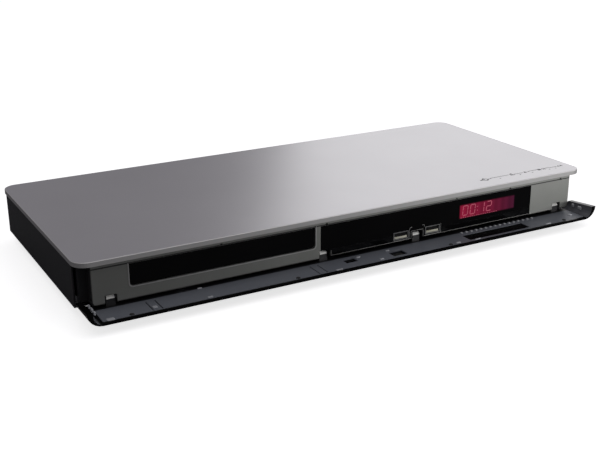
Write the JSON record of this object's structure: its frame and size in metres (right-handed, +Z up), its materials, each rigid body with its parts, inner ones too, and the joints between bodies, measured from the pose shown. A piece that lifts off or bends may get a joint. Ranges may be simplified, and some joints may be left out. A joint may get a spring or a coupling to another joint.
{
  "type": "slim disc player with an open front flap",
  "caption": "Slim full-width disc player with a hinged front flap, a belt and gear driven disc tray, a tilting pickup unit and a clamp, in a steel case.",
  "frame": {"origin": "on the surface the feet stand on, below the middle of the whole player with its flap open", "axes": "+X to the right as seen from the front, +Y to the rear, +Z up"},
  "size_m": [0.415, 0.204, 0.043],
  "materials": {
    "silver_paint": "moulded plate with smooth silver paint",
    "black_paint": "sheet steel with fine black paint",
    "bare_steel": "plated sheet steel",
    "grey_paint": "moulding with metallic grey paint",
    "black_plastic": "black moulded plastic",
    "gloss_black": "polished black plastic",
    "smoked_window": "dark tinted clear plastic",
    "liner_grey": "satin dark grey plastic",
    "bright_metal": "bright nickel plating",
    "board_green": "green solder mask on glass fibre board",
    "rubber": "black rubber",
    "white_plastic": "off-white moulded plastic",
    "copper_wire": "enamelled copper wire",
    "clear_lens": "coated clear lens in a light holder",
    "red_glow": "display glass with a red glow",
    "aluminium": "extruded aluminium"
  },
  "bodies": {
    "chassis": {"top_plate": "silver_paint", "touch_key_board": "board_green", "case_cover": "black_paint", "foot_1": "rubber", "foot_2": "rubber", "foot_3": "rubber", "foot_4": "rubber", "base_plate": "bare_steel", "rear_panel": "bare_steel", "hdmi_socket": "bright_metal", "lan_socket": "bright_metal", "optical_socket": "black_plastic", "ac_inlet": "black_plastic", "main_board": "board_green", "heat_sink": "aluminium", "power_board": "board_green", "transformer": "copper_wire", "main_capacitor": "black_plastic", "front_bezel": "grey_paint", "window_panel": "gloss_black", "front_frame": "black_plastic", "hinge_pin_1": "bare_steel", "hinge_pin_2": "bare_steel", "hinge_pin_3": "bare_steel", "hinge_pin_4": "bare_steel", "front_board": "board_green", "display_module": "red_glow", "usb_socket_left": "bright_metal", "usb_socket_right": "bright_metal", "flat_cable": "white_plastic", "loader_frame": "black_plastic", "loading_motor": "bare_steel", "drive_belt": "rubber", "clamp_bridge": "bare_steel"},
    "flap": {"flap_shell": "gloss_black", "flap_liner": "liner_grey", "flap_window": "smoked_window"},
    "disc_tray": {"tray": "black_plastic", "tray_front": "gloss_black"},
    "drive_gear_unit": {"drive_gear": "white_plastic"},
    "pulley_gear_unit": {"pulley_gear": "white_plastic"},
    "motor_pulley_unit": {"motor_pulley": "white_plastic"},
    "traverse": {"traverse_frame": "bare_steel", "guide_rod_left": "bright_metal", "guide_rod_right": "bright_metal", "feed_motor": "bare_steel", "spindle_motor": "bare_steel"},
    "turntable_unit": {"turntable": "black_plastic"},
    "feed_screw_unit": {"feed_screw": "bright_metal"},
    "sled": {"pickup_sled": "black_plastic"},
    "lens": {"objective_lens": "clear_lens"},
    "clamp": {"clamp_puck": "white_plastic"}
  },
  "joints": [
    {"name": "flap_hinge", "type": "hinge", "parent": "chassis", "child": "flap", "pos_m": [0, -0.07735, 0.0143], "axis": [1, 0, 0], "range_deg": [-90, 0]},
    {"name": "drive_gear_spin", "type": "hinge", "parent": "chassis", "child": "drive_gear_unit", "pos_m": [-0.05655, -0.05755, 0.018], "axis": [0, 0, -1], "range_deg": [0, 854]},
    {"name": "tray_slide", "type": "slide", "parent": "chassis", "child": "disc_tray", "axis": [0, -1, 0], "range_m": [0, 0.134]},
    {"name": "pulley_gear_spin", "type": "hinge", "parent": "chassis", "child": "pulley_gear_unit", "pos_m": [-0.07751, -0.05232, 0.018], "axis": [0, 0, 1], "range_deg": [0, 1341]},
    {"name": "motor_pulley_spin", "type": "hinge", "parent": "chassis", "child": "motor_pulley_unit", "pos_m": [-0.13305, -0.05455, 0.02], "axis": [0, 0, 1], "range_deg": [0, 4469]},
    {"name": "traverse_lift", "type": "hinge", "parent": "chassis", "child": "traverse", "pos_m": [-0.10445, 0.07545, 0.02], "axis": [1, 0, 0], "range_deg": [-4.5, 0]},
    {"name": "turntable_spin", "type": "hinge", "parent": "traverse", "child": "turntable_unit", "pos_m": [-0.10445, -0.01284, 0.02017], "axis": [0, -0.0785, 0.9969], "continuous": true},
    {"name": "sled_slide", "type": "slide", "parent": "traverse", "child": "sled", "axis": [0, 0.9969, 0.0785], "range_m": [0, 0.034]},
    {"name": "feed_screw_spin", "type": "hinge", "parent": "traverse", "child": "feed_screw_unit", "pos_m": [-0.07245, 0.01174, 0.01378], "axis": [0, 0.9969, 0.0785], "range_deg": [0, 4081]},
    {"name": "lens_focus", "type": "slide", "parent": "sled", "child": "lens", "axis": [0, -0.0785, 0.9969], "range_m": [-0.0004, 0.0004], "stiffness_N_per_m": 60},
    {"name": "clamp_lift", "type": "slide", "parent": "chassis", "child": "clamp", "axis": [0, 0, 1], "range_m": [0, 0.001]}
  ],
  "couplings": [
    {"joint": "drive_gear_spin", "follows": "tray_slide", "rad_per_m": 111.11},
    {"joint": "pulley_gear_spin", "follows": "tray_slide", "rad_per_m": 174.6},
    {"joint": "motor_pulley_spin", "follows": "tray_slide", "rad_per_m": 582.01},
    {"joint": "feed_screw_spin", "follows": "sled_slide", "rad_per_m": 2094.4}
  ]
}
